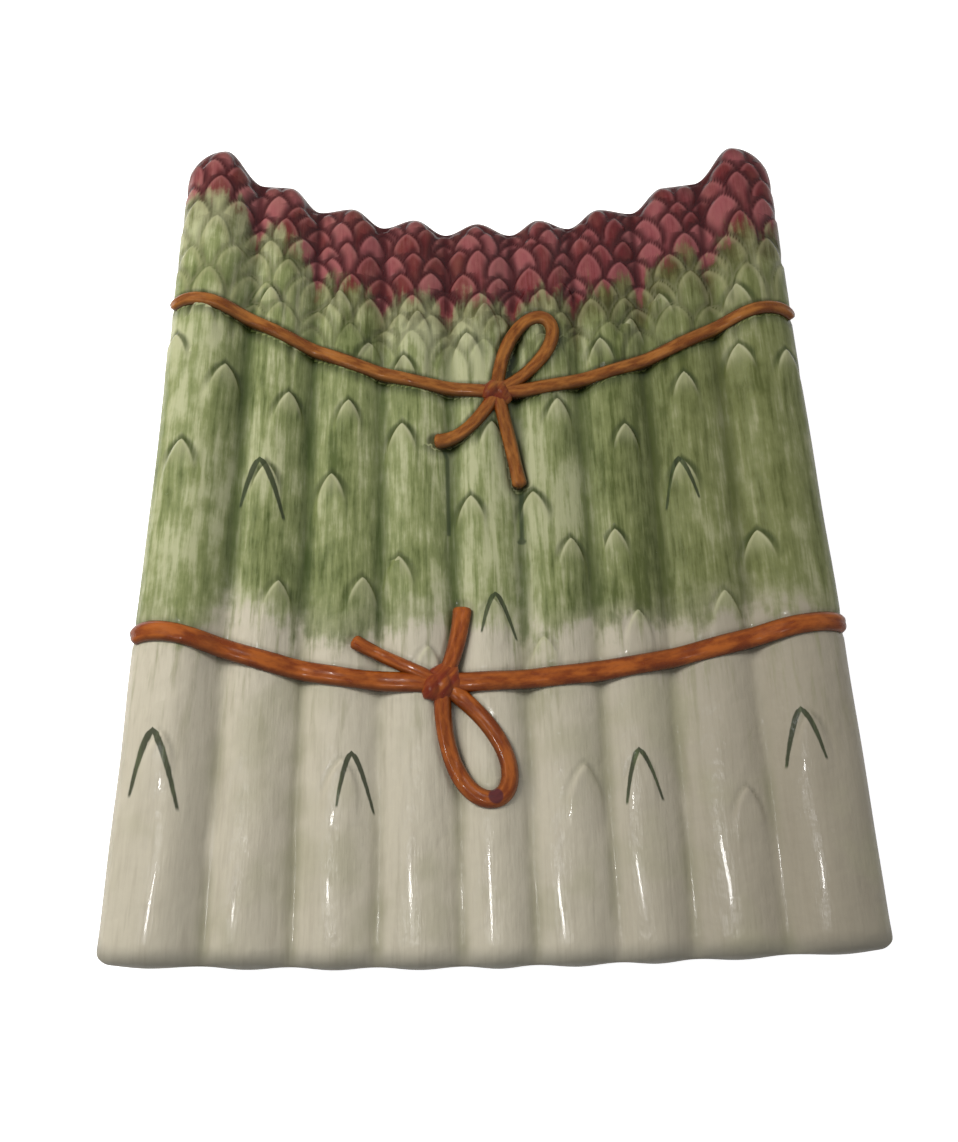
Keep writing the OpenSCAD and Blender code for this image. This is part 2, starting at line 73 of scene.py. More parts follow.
# Scales on the spears: for each spear the share across it and the share of the length
SCALES = [
    [(0.45, 0.26), (0.34, 0.61), (0.76, 0.71), (0.12, 0.75), (0.42, 0.8)],
    [(0.4, 0.585), (0.66, 0.68), (0.65, 0.44), (0.3, 0.82)],
    [(0.55, 0.23), (0.32, 0.575), (0.53, 0.67), (0.77, 0.445), (0.8, 0.75), (0.36, 0.82)],
    [(0.26, 0.47), (0.3, 0.64), (0.33, 0.73), (0.64, 0.36), (0.54, 0.79)],
    [(0.56, 0.415), (0.28, 0.545), (0.62, 0.64), (0.29, 0.76), (0.57, 0.8)],
    [(0.7, 0.22), (0.26, 0.37), (0.71, 0.49), (0.2, 0.55), (0.63, 0.67), (0.25, 0.82), (0.83, 0.83)],
    [(0.45, 0.23), (0.58, 0.4), (0.35, 0.5), (0.61, 0.635), (0.35, 0.75), (0.83, 0.78)],
    [(0.72, 0.19), (0.36, 0.585), (0.72, 0.42), (0.5, 0.7), (0.28, 0.81)],
    [(0.44, 0.27), (0.18, 0.49), (0.24, 0.73), (0.3, 0.81), (0.8, 0.72)],
]
# How far the wine colour comes down from the tip of each head
WINE_REACH = [17, 19, 30, 30, 29, 28, 29, 27, 31]
# How much darker or lighter the green is on each spear
WASH_TONES = [-0.05, -0.01, 0.02, -0.01, -0.08, -0.04, 0.09, 0.04, -0.02]
# Painted chevrons: point, left foot and right foot
CHEVRONS = [
    ((-101.1, -65.1), (-107.3, -84.5), (-93.0, -88.7)),
    ((-42.8, -71.8), (-47.1, -87.9), (-36.1, -90.1)),
    ((44.5, -72.1), (40.1, -88.5), (51.2, -87.6)),
    ((92.9, -61.7), (87.8, -79.2), (99.3, -77.0)),
    ((1.9, -22.4), (-2.5, -34.9), (8.4, -37.3)),
    ((-72.8, 22.7), (-78.5, 6.6), (-64.8, 2.2)),
    ((62.3, 21.9), (57.8, 4.8), (68.0, 7.6)),
]


def unit(v):
    return v / np.maximum(np.linalg.norm(v, axis=-1, keepdims=True), 1e-9)


def mix(a, b, f):
    return a + (b - a) * f


def step(x, low, high):
    f = np.clip((x - low) / (high - low), 0, 1)
    return f * f * (3 - 2 * f)


def cuts(widths):
    sums = np.cumsum([0.0] + widths)
    return sums / sums[-1]


BUTT_CUTS, TIP_CUTS = cuts(BUTT_WIDTHS), cuts(TIP_WIDTHS)


# Places on the bundle: spear k, share t across it, y along it, share s of the length
def along(y):
    return (y + PLATE_L / 2) / PLATE_L


def half_w(s):
    return mix(BUTT_W, TIP_W, s) / 2


def cut_u(j, s):
    return 2 * mix(BUTT_CUTS[j], TIP_CUTS[j], s) - 1


def groove_x(j, s):
    return half_w(s) * cut_u(j, s)


def spear_w(k, s):
    return groove_x(k + 1, s) - groove_x(k, s)


def spear_x(k, t, s):
    return groove_x(k, s) + spear_w(k, s) * t


def is_outer(k):
    return (k == 0) | (k == LAST)


def outward(k, t):
    return np.where(k == 0, 1 - 2 * t, 2 * t - 1)


def crest_u(k, s):
    return (cut_u(k, s) + cut_u(k + 1, s)) / 2


def arc(f):
    return 1 - np.sqrt(np.maximum(0, 1 - f * f))


def dish(u):
    return RIM_RISE * np.maximum(0, (np.abs(u) - WELL_SHARE) / (1 - WELL_SHARE)) ** DISH_POWER


def rounding(d, r):
    return np.where(d >= r, 1.0, np.where(d <= 0, 0.0, 1 - arc(1 - np.clip(d / r, 0, 1))))


def swell(t):
    return (1 - np.cos(2 * np.pi * t)) / 2


# Share across a spear, eased so that the grooves have a round bottom
def eased(t, w, soft):
    near = np.minimum(t, 1 - t)
    sunk = (np.sqrt((near * w) ** 2 + soft**2) - soft) / w
    full = (np.sqrt((0.5 * w) ** 2 + soft**2) - soft) / w
    sunk = sunk * 0.5 / full
    return np.where(t < 0.5, sunk, 1 - sunk)


def spear_z(k, t, s, soft=1.3):
    te = eased(t, spear_w(k, s), soft)
    base = FOOT_H + WALL_T
    flat = base + mix(dish(cut_u(k, s)), dish(cut_u(k + 1, s)), t) + FLUTE_H * 4 * te * (1 - te)
    o = outward(k, t)
    oe = outward(k, te)
    crest = base + FLUTE_H + dish(crest_u(k, s))
    inner = base + dish(cut_u(np.where(k == 0, 1, LAST), s))
    edge = np.where(o > 0, crest - RIM_DROP * arc(np.clip(o, 0, 1)), crest - (crest - inner) * oe * oe)
    return np.where(is_outer(k), edge, flat)


def bed_z(k, t, s):
    flat = dish(mix(cut_u(k, s), cut_u(k + 1, s), t))
    o = outward(k, t)
    crest, inner = dish(crest_u(k, s)), dish(cut_u(np.where(k == 0, 1, LAST), s))
    edge = np.where(o > 0, crest + (WALL_T + FLUTE_H - RIM_DROP - EDGE_BAND) * arc(np.clip(o, 0, 1)),
                    crest - (crest - inner) * o * o)
    return FOOT_H + np.where(is_outer(k), edge, flat)


def edge_z(k, t, s):
    return np.minimum(spear_z(k, t, s), bed_z(k, t, s) + EDGE_UP)


def tip_line(u):
    return PLATE_L / 2 - TIP_SAG * (1 - (u / crest_u(0, 1)) ** 2)


def apex_y(k):
    return np.where(is_outer(k), PLATE_L / 2, tip_line(crest_u(k, 1)))


def end_y(k, t):
    notch = tip_line(cut_u(np.where(t < 0.5, k, k + 1), 1)) - NOTCH_D
    o = outward(k, t)
    shoulder = apex_y(k) - SHOULDER_D * arc(np.clip(o, 0, 1))
    return np.where(is_outer(k) & (o > 0), shoulder, mix(notch, apex_y(k), swell(t)))


def butt_y(k, t):
    u = mix(cut_u(k, 0), cut_u(k + 1, 0), t)
    half = half_w(0) * (1 - np.abs(crest_u(k, 0)))
    over = np.clip((np.maximum(0, outward(k, t)) * half - half + CORNER_R) / CORNER_R, 0, 1)
    corner = np.where(is_outer(k), CORNER_R * arc(over), 0)
    return BUTT_BOW * u * u + BUTT_SWELL * (1 - swell(t)) + corner - PLATE_L / 2


def ends(k, t, y, r_butt, r_tip):
    return rounding(y - butt_y(k, t), r_butt) * rounding(end_y(k, t) - y, r_tip)


def top_z(k, t, y, soft=1.3):
    s = along(y)
    line = edge_z(k, t, s)
    return line + (spear_z(k, t, s, soft) - line) * ends(k, t, y, EDGE_R, TIP_R)


def under_z(k, t, y):
    s = along(y)
    low = edge_z(k, t, s) - EDGE_BAND
    return mix(low, bed_z(k, t, s), ends(k, t, y, UNDER_R, UNDER_R))


def spear_at(x, s):
    return sum((x > groove_x(j, s)).astype(int) for j in range(1, LAST + 1))


# A point on the skin, stood off by h; on the outer flanks the offset leans outwards
def stand_off(x, y, h, bridge):
    s = along(y)
    k = spear_at(x, s)
    t = np.clip((x - groove_x(k, s)) / spear_w(k, s), 0, 1)
    o = np.where(is_outer(k), np.maximum(0, outward(k, t)), 0)
    dip = np.where(o > 0, 0, FLUTE_H * (2 * t - 1) ** 2)
    side = np.where(k == 0, -1, 1)
    return np.stack([spear_x(k, t, s) + side * h * o, y + 0 * x,
                     top_z(k, t, y) + bridge * dip + h * np.sqrt(1 - o * o)], -1)


def hash_share(*values):
    return math.sin(sum(v * w for v, w in zip(values, (12.9898, 78.233, 37.719, 9.151)))) * 43758.5453 % 1


# Plan routes of the cords
def tie_y(x, knot, reach, sag, power):
    u = np.abs(x - knot[0]) / abs(reach - knot[0])
    return knot[1] + sag * u**power * (1 - LEVEL_SHARE * u**LEVEL_POWER) / (1 - LEVEL_SHARE)


def tie_route(side, knot, sag, power, steps):
    rim = 0 if side < 0 else LAST
    reach = float(spear_x(rim, 0.5, along(knot[1] + sag)))
    over = np.linspace(0, 1, steps)
    x = knot[0] + (reach - knot[0]) * over
    plain = np.stack([x, tie_y(x, knot, reach, sag, power)], -1)
    flank = []
    for a in np.radians(np.linspace(6, 70, 12)):
        t = (1 + side * math.sin(a)) / 2
        rough = tie_y(spear_x(rim, t, along(knot[1])), knot, reach, sag, power)
        x = spear_x(rim, t, along(rough))
        flank.append((x, tie_y(x, knot, reach, sag, power)))
    return np.concatenate([plain, np.array(flank)])


def turned(p, a):
    c, s = math.cos(math.radians(a)), math.sin(math.radians(a))
    return np.stack([p[..., 0] * c - p[..., 1] * s, p[..., 0] * s + p[..., 1] * c], -1)


def loop_route(knot, length, width, turn, steps):
    a = np.radians(np.linspace(0, 360, steps))
    x = width / 2 * np.sin(a) * np.sin(a / 2) * 1.3
    return knot + turned(np.stack([x, length * (1 - np.cos(a)) / 2], -1), turn)


def tail_route(knot, reach, bends, steps):
    f = np.linspace(0, 1, steps)[:, None]
    return knot + reach * (2 * f * (1 - f) * np.array(bends[0]) + f * f * np.array(bends[1]))


UPPER_TIE_W, UPPER_TIE_H = 4.6, 1.6
LOWER_TIE_W, LOWER_TIE_H, LOWER_CORD_W = 6.2, 1.9, 5.4
CORDS = {
    "upper_band_left": (tie_route(-1, UPPER_KNOT, 30.0, 1.7, 150), UPPER_TIE_W, UPPER_TIE_H),
    "upper_band_right": (tie_route(1, UPPER_KNOT, 25.0, 1.7, 150), UPPER_TIE_W, UPPER_TIE_H),
    "upper_loop": (loop_route(UPPER_KNOT, 31.0, 12.5, -33, 130), UPPER_TIE_W, UPPER_TIE_H),
    "upper_tail_left": (tail_route(UPPER_KNOT, 27.0, [(-0.33, -0.62), (-0.77, -0.64)], 60),
                        UPPER_TIE_W, UPPER_TIE_H),
    "upper_tail_right": (tail_route(UPPER_KNOT, 34.0, [(0.1, -0.42), (0.2, -0.98)], 60),
                         UPPER_TIE_W, UPPER_TIE_H),
    "lower_band_left": (tie_route(-1, LOWER_KNOT, 15.0, 2.1, 150), LOWER_TIE_W, LOWER_TIE_H),
    "lower_band_right": (tie_route(1, LOWER_KNOT, 15.0, 2.1, 170), LOWER_TIE_W, LOWER_TIE_H),
    "lower_loop": (loop_route(LOWER_KNOT, 39.0, 15.5, -155, 150), LOWER_CORD_W, LOWER_TIE_H),
    "lower_tail_left": (tail_route(LOWER_KNOT, 31.0, [(-0.42, 0.18), (-0.9, 0.44)], 60),
                        LOWER_CORD_W * 0.8, LOWER_TIE_H),
    "lower_tail_up": (tail_route(LOWER_KNOT, 25.0, [(0.22, 0.47), (0.26, 0.965)], 60),
                      LOWER_CORD_W, LOWER_TIE_H),
}


# Shader maths: a wrapped socket, on which sums are written as in Python
class Value:
    def __init__(self, coat, socket):
        self.coat, self.socket = coat, socket

    def sum(self, kind, *terms):
        return self.coat.node("Math", {"operation": kind}, *terms)

    def __add__(self, other):
        return self.sum("ADD", self, other)

    def __sub__(self, other):
        return self.sum("SUBTRACT", self, other)

    def __rsub__(self, other):
        return self.sum("SUBTRACT", other, self)

    def __mul__(self, other):
        return self.sum("MULTIPLY", self, other)

    def __truediv__(self, other):
        return self.sum("DIVIDE", self, other)

    def __pow__(self, other):
        return self.sum("POWER", self, other)

    __radd__, __rmul__ = __add__, __mul__

    def lowest(self, other):
        return self.sum("MINIMUM", self, other)

    def size(self):
        return self.sum("ABSOLUTE", self)

    def highest(self, other):
        return self.sum("MAXIMUM", self, other)

    def step(self, low, high, start=0.0, end=1.0):
        return self.coat.node("MapRange", {"interpolation_type": "SMOOTHSTEP", "clamp": True},
                              self, low, high, start, end)


# A finish: its material, and the one method that adds its nodes
class Coat:
    def __init__(self, name):
        self.material = bpy.data.materials.new(name)
        self.material.use_nodes = True
        self.tree = self.material.node_tree
        self.tree.nodes.clear()

    def node(self, kind, settings=None, *values, out=0, **named):
        made = self.tree.nodes.new("ShaderNode" + kind)
        for key, value in (settings or {}).items():
            if key == "stops":
                while len(made.color_ramp.elements) < len(value):
                    made.color_ramp.elements.new(0.5)
                for element, (place, colour) in zip(made.color_ramp.elements, value):
                    element.position, element.color = place, colour
            else:
                setattr(made, key, value)
        sockets = [(made.inputs[i], v) for i, v in enumerate(values) if v is not None]
        sockets += [(made.inputs[key.replace("_", " ")], v) for key, v in named.items()]
        for socket, value in sockets:
            if isinstance(value, Value):
                self.tree.links.new(value.socket, socket)
            else:
                socket.default_value = value
        return Value(self, made.outputs[out])

    def attribute(self, name, out="Fac"):
        return self.node("Attribute", {"attribute_name": name}, out=out)

    def blend(self, a, b, share):
        return self.node("Mix", {"data_type": "RGBA"}, share, *[None] * 5, a, b, out=2)

    def noise(self, place, stretch, detail=3.0, rough=0.55, shift=(0.0, 0.0, 0.0)):
        laid = self.node("Mapping", None, place, shift, None, stretch)
        return self.node("TexNoise", None, laid, None, 1.0, detail, rough)

    def finish(self, surface):
        end = self.tree.nodes.new("ShaderNodeOutputMaterial")
        self.tree.links.new(surface.socket, end.inputs[0])
        return self.material


# A colour as a paint chart gives it, in 0 to 255
def paint(r, g, b):
    def linear(c):
        c = c / 255
        return c / 12.92 if c <= 0.04045 else ((c + 0.055) / 1.055) ** 2.4
    return linear(r), linear(g), linear(b), 1.0


# Meshes
def make_piece(name, points, faces, attributes, material, nodes):
    mesh = bpy.data.meshes.new(name)
    mesh.from_pydata((points * MM).tolist(), [], faces.tolist() if hasattr(faces, "tolist") else faces)
    mesh.validate()
    for key, values in attributes.items():
        if values.ndim == 1:
            made = mesh.attributes.new(key, "FLOAT", "POINT")
            made.data.foreach_set("value", values.astype(np.float32))
        else:
            made = mesh.attributes.new(key, "FLOAT_VECTOR", "POINT")
            made.data.foreach_set("vector", values.astype(np.float32).ravel())
    mesh.shade_smooth()
    mesh.materials.append(material)
    piece = bpy.data.objects.new(name, mesh)
    bpy.context.scene.collection.objects.link(piece)
    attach(piece, "root")
    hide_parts(*nodes)
    return piece


def grid_faces(columns, rows, start=0, flip=False):
    c, r = np.meshgrid(np.arange(columns - 1), np.arange(rows - 1), indexing="ij")
    a = (start + c * rows + r).ravel()
    quads = np.stack([a, a + rows, a + rows + 1, a + 1], -1)
    return quads[:, ::-1] if flip else quads


# Triangles between two lines of points that run the same way
def zip_faces(near, far):
    faces, i, j = [], 0, 0
    while i < len(near) - 1 or j < len(far) - 1:
        if j == len(far) - 1 or (i < len(near) - 1 and (i + 1) * (len(far) - 1) <= (j + 1) * (len(near) - 1)):
            faces.append((near[i], near[i + 1], far[j]))
            i += 1
        else:
            faces.append((near[i], far[j + 1], far[j]))
            j += 1
    return faces


# Distance in plan from points to a line through places
def line_distance(x, y, route):
    best = np.full(x.shape, 1e3)
    for a, b in zip(route[:-1], route[1:]):
        d = b - a
        f = np.clip(((x - a[0]) * d[0] + (y - a[1]) * d[1]) / max(d @ d, 1e-9), 0, 1)
        best = np.minimum(best, np.hypot(x - a[0] - f * d[0], y - a[1] - f * d[1]))
    return best


# The scales that cover the spears: point, width, length and a tone for each, from the tips down
def head_scales():
    found = []
    for k in range(LAST + 1):
        for r in range(6, -1, -1):
            y = float(apex_y(k)) - 1.0 - 5.6 * r - 0.3 * r * r
            offsets = ([-0.34, 0.0, 0.34], [-0.5, -0.17, 0.17, 0.5])[r % 2]
            if r > 2:
                offsets = ([-0.5, 0.0, 0.5], [-0.26, 0.27])[r % 2]
            for i, offset in enumerate(offsets):
                jitter = [hash_share(k, r, i, n) - 0.5 for n in range(4)]
                t = 0.5 + offset + 0.1 * jitter[0]
                place_y = y + 4.4 * jitter[1]
                limit = float(end_y(k, min(max(t, 0.0), 1.0))) - 0.6
                if place_y > limit + 3.5:
                    continue
                place_y = min(place_y, limit)
                found.append((k, t, place_y, (8.6 + 0.62 * r) * (1 + 0.22 * jitter[2]),
                              (12.5 + 1.5 * r) * (1 + 0.2 * jitter[3]), 0.55, hash_share(k, r, i, 7)))
    return found


def spear_scales():
    found = []
    for k, places in enumerate(SCALES):
        for i, (t, s) in enumerate(places):
            big = 1 + 0.2 * (hash_share(k, i, 1) - 0.5)
            found.append((k, t, s * 267.0 - PLATE_L / 2, SCALE_W * big, SCALE_L * big, 1.0,
                          hash_share(k, i, 5)))
    return found


# Half width of a scale at b behind its point, shaped as a pointed arch
def arch(b, w, length):
    left = np.clip(1 - b / (0.7 * length), 0, 1)
    return np.where(b < 0, b, w / 2 * (1 - left**2) ** 0.75)


# A scale's point in plan and the lean of its spear there
def scale_place(k, t, py):
    px = float(spear_x(k, t, along(py)))
    return px, (float(spear_x(k, t, along(py - 20))) - px) / 20.0


# Raises the scales of the spears; for each point, its place on the nearest one, in scale widths
def lay_leaves(x, y):
    lift = np.zeros_like(x)
    across, back, seen = np.full_like(x, 3.0), np.full_like(x, -1.0), np.zeros_like(x)
    for k, t, py, w, length, high, shade in sorted(spear_scales(), key=lambda p: -p[2]):
        px, lean = scale_place(k, t, py)
        near = (np.abs(x - px) < 1.1 * w) & (y < py + 5) & (y > py - length - 2)
        b = py - y[near]
        a = (x[near] - px) - b * lean
        d = arch(b, w, length) - np.abs(a)
        fade = np.clip(1 - b / length, 0, 1)
        raised = high * SCALE_H * fade**0.8 * step(d, -0.35, 0.75)
        dent = 0.28 * high * np.exp(-((d + 0.9) / 0.7) ** 2) * step(fade, 0.2, 0.7) * (b > -2.2)
        lift[near] = lift[near] + raised - dent
        across[near], back[near] = a / (w / 2), b / length
        seen[near] = (np.abs(a) < 0.9 * w) & (b > -3.5) & (b < length)
    return lift, across, back, seen


# Raises the scales and measures, for each point, how far inside and outside their rims it is
def lay_scales(x, y):
    lift = np.zeros_like(x)
    inner, gap, tone = np.full_like(x, 4.0), np.full_like(x, 4.0), np.full_like(x, 0.5)
    for k, t, py, w, length, high, shade in sorted(head_scales(), key=lambda p: -p[2]):
        px, lean = scale_place(k, t, py)
        near = (np.abs(x - px) < w) & (y < py + 4) & (y > py - length - 1)
        b = py - y[near]
        a = (x[near] - px) - b * lean
        share = np.clip(b / (0.55 * length), 0, 1)
        width = w / 2 * (1 - (1 - share) ** 2) ** 0.7
        slope = (w / 2 * (1 - (1 - np.clip(share + 0.02, 0, 1)) ** 2) ** 0.7 - width) / (0.02 * 0.55 * length)
        d = (width - np.abs(a)) / np.sqrt(1 + slope**2)
        d = np.where(b < 0, -np.hypot(a, b), d)
        fade = np.clip(1 - b / length, 0, 1)
        seen = step(fade, 0.0, 0.4)
        inside = (d > 0) & (b > 0)
        raised = SCALE_H * high * (0.3 + 0.7 * fade) * step(fade, 0.0, 0.25)
        crown = raised * step(d, -0.1, 1.1)
        own_lift, own_inner, own_gap, own_tone = lift[near], inner[near], gap[near], tone[near]
        own_lift = np.where(inside, mix(own_lift, np.maximum(crown, 0), seen),
                            own_lift - 0.34 * high * np.exp(-((d + 0.4) / 0.7) ** 2) * seen)
        far = 4 * (1 - seen)
        own_inner = np.where(inside, mix(own_inner, np.clip(d, 0, 4), seen),
                             np.minimum(own_inner, 2.5 * np.maximum(-d, 0) + far))
        own_gap = np.where(inside, mix(own_gap, np.minimum(3 * d, 4), seen),
                           np.minimum(own_gap, np.maximum(-d, 0) + far))
        own_tone = np.where(inside, mix(own_tone, shade, seen), own_tone)
        lift[near], inner[near], gap[near], tone[near] = own_lift, own_inner, own_gap, own_tone
    return lift, inner, gap, tone


# Distances in plan from points to the cords' edges, on the side below them and the side above them
def cord_shadows(x, y):
    below, above = np.full_like(x, 9.0), np.full_like(x, 9.0)
    for name, (route, w, h) in CORDS.items():
        near = ((x > route[:, 0].min() - 12) & (x < route[:, 0].max() + 12)
                & (y > route[:, 1].min() - 12) & (y < route[:, 1].max() + 12))
        xs, ys = x[near], y[near]
        thin = route[::3] if len(route) > 20 else route
        d = np.maximum(line_distance(xs, ys, thin) - w / 2, 0)
        lower = np.maximum(line_distance(xs, ys + 2.0, thin) - w / 2, 0) < d
        below[near] = np.where(lower, np.minimum(below[near], d), below[near])
        above[near] = np.where(~lower, np.minimum(above[near], d), above[near])
    return below, above


def chevron_place(x, y):
    across, back, seen = np.full_like(x, 3.0), np.full_like(x, -1.0), np.zeros_like(x)
    for point, left, right in CHEVRONS:
        point, left, right = (np.array(p) for p in (point, left, right))
        near = (np.abs(x - point[0]) < 18) & (y < point[1] + 6) & (y > point[1] - 32)
        xs, ys = x[near] - point[0], point[1] - y[near]
        middle = (left + right) / 2 - point
        span, length = (right[0] - left[0]) / 2, -middle[1]
        a = xs - ys * middle[0] / length
        own = np.where(a < 0, point[1] - left[1], point[1] - right[1])
        across[near], back[near] = a / span, ys / mix(own, length, np.exp(-np.abs(a) / 1.5))
        seen[near] = (np.abs(a) < 12) & (ys > -3) & (ys < 27)
    return across, back, seen


# Distance to the two runs of glaze below the ends of the upper tails
def run_ink(x, y):
    ink = np.full_like(x, 4.0)
    for route, fat in (([(7.6, 50.5), (8.6, 53.5)], 0.9), ([(-14.5, 28.5), (-12.6, 24.0), (-12.4, -2.0)], 0.5),
                       ([(11.2, 12.5), (11.0, -4.0)], 0.7), ([(10.2, -4.8), (11.6, -4.8)], 0.8)):
        ink = np.minimum(ink, line_distance(x, y, np.array(route)) - fat)
    return np.minimum(ink, 4.0)


def bundle():
    half = np.sin(np.radians(np.linspace(90, 0, 21)))[:-1]
    inner = np.linspace(0.5, 1, 17)[:-1]
    across = np.linspace(0, 1, 33)[:-1]
    columns = [(0, (1 - o) / 2) for o in half] + [(0, t) for t in inner]
    columns += [(k, t) for k in range(1, LAST) for t in across]
    columns += [(LAST, t - 0.5) for t in inner] + [(LAST, (1 + o) / 2) for o in half[::-1]]
    columns = columns[:-len(half)] + [(LAST, 0.5)] + columns[-len(half):]
    k = np.array([c[0] for c in columns])[:, None]
    t = np.array([c[1] for c in columns])[:, None]
    y0, y1 = butt_y(k, t), end_y(k, t)
    butt = EDGE_R * (1 - np.sin(np.radians(np.linspace(90, 0, 10))))[:-1]
    tip = TIP_R * (1 - np.sin(np.radians(np.linspace(90, 0, 20))))[::-1]
    y_mid = y1 - HEAD_L
    low = (y0 + EDGE_R) + (y_mid - y0 - EDGE_R) * np.linspace(0, 1, 224)[None, :-1]
    high = y_mid + (HEAD_L - TIP_R) * np.linspace(0, 1, 62)[None, :-1]
    y = np.concatenate([y0 + butt[None, :], low, high, y1 - tip[None, :]], 1)
    k, t = np.broadcast_to(k, y.shape), np.broadcast_to(t, y.shape)
    s = along(y)
    points = np.stack([spear_x(k, t, s), y, top_z(k, t, y)], -1)
    u = np.gradient(points, axis=0)
    v = np.gradient(points, axis=1)
    normal = unit(np.cross(u, v))
    x = points[..., 0]
    lift, inner, gap, tone = lay_scales(x, y)
    leaf_lift, leaf_across, leaf_back, leaf_seen = lay_leaves(x, y)
    mark_across, mark_back, mark_seen = chevron_place(x, y)
    lift = lift + leaf_lift
    rim = np.minimum(np.minimum(y - y0, y1 - y), 99)
    lift = lift * step(rim, 0.0, 3.0)
    uneven = 0.16 * np.sin(y / 9.0 + 2.1 * k) * np.sin(x / 3.1 + 1.3 * k) + 0.12 * np.sin(y / 23.0 + x / 7.0)
    below, above = cord_shadows(x, y)
    pressed = -0.35 * np.exp(-(np.minimum(below, above) / 0.8) ** 2)
    keep = step(rim, 0.0, 6.0)
    points = points + normal * (lift + (uneven + pressed) * keep)[..., None]
    points[..., 2] = np.minimum(points[..., 2], cad_box[1][2] / MM)
    edge = half_w(s)
    points[..., 0] = np.clip(points[..., 0], -edge, edge)
    points[..., 1] = np.minimum(points[..., 1], y1 + 0.0)

    rows = y.shape[1]
    far = len(columns) - 1
    yu = y0 + (y1 - y0) * np.concatenate([[0, 0.004, 0.011], np.linspace(0.03, 0.97, 12), [0.989, 0.996, 1]])
    ku, tu = np.broadcast_to(k[:, :1], yu.shape), np.broadcast_to(t[:, :1], yu.shape)
    under = np.stack([spear_x(ku, tu, along(yu)), yu, under_z(ku, tu, yu)], -1)
    rows_u, base = yu.shape[1], y.size
    faces = grid_faces(len(columns), rows).tolist()
    faces += grid_faces(len(columns), rows_u, base, flip=True).tolist()
    top_id = lambda c, r: c * rows + r
    low_id = lambda c, r: base + c * rows_u + r
    for c in range(far):
        faces.append((top_id(c, 0), low_id(c, 0), low_id(c + 1, 0), top_id(c + 1, 0)))
        faces.append((top_id(c + 1, rows - 1), low_id(c + 1, rows_u - 1), low_id(c, rows_u - 1), top_id(c, rows - 1)))
    left_top, left_low = [top_id(0, r) for r in range(rows)], [low_id(0, r) for r in range(rows_u)]
    right_top, right_low = [top_id(far, r) for r in range(rows)], [low_id(far, r) for r in range(rows_u)]
    faces += zip_faces(left_top, left_low)
    faces += [f[::-1] for f in zip_faces(right_top, right_low)]

    def whole(values, fill):
        return np.concatenate([values.ravel(), np.full(yu.size, fill)])

    all_points = np.concatenate([points.reshape(-1, 3), under.reshape(-1, 3)])
    lay = np.stack([all_points[:, 0] / 24, all_points[:, 1] / 24, all_points[:, 2] / 24], -1)
    spear_place = np.concatenate([(k + t).ravel(), (ku + tu).ravel()])
    lay[:, 0] = spear_place
    groove = np.minimum(t, 1 - t) * spear_w(k, s)
    groove = np.where(is_outer(k) & (outward(k, t) > 0), 12.0, groove)
    apex = apex_y(k)
    reach = np.array(WINE_REACH, float)
    centre = k + t - 0.5
    wine_line = np.interp(centre, np.arange(LAST + 1), reach)
    wine_line = wine_line + 9 * np.exp(-(groove / 2.6) ** 2)
    tip_back = np.interp(centre, np.arange(LAST + 1), [float(apex_y(j)) for j in range(LAST + 1)]) - y
    attributes = {
        "lay": lay,
        "length_share": along(all_points[:, 1]),
        "wine": whole(wine_line - tip_back, -200),
        "groove": whole(groove, 12),
        "right": all_points[:, 0] / 110,
        "dark": np.interp(spear_place - 0.5, np.arange(LAST + 1), WASH_TONES),
        "rim_in": whole(inner, 4),
        "rim_gap": whole(gap, 4),
        "tone": whole(tone, 0.5),
        "cord_below": whole(below, 9),
        "cord_above": whole(above, 9),
        "leaf_across": whole(leaf_across, 3),
        "leaf_back": whole(leaf_back, -1),
        "leaf_seen": whole(leaf_seen, 0),
        "mark_across": whole(mark_across, 3),
        "mark_back": whole(mark_back, -1),
        "mark_seen": whole(mark_seen, 0),
        "run_off": whole(run_ink(x, y), 4),
        "edge_in": whole(rim, 0),
        "top": whole(np.ones_like(y), 0),
    }
    return all_points, faces, attributes


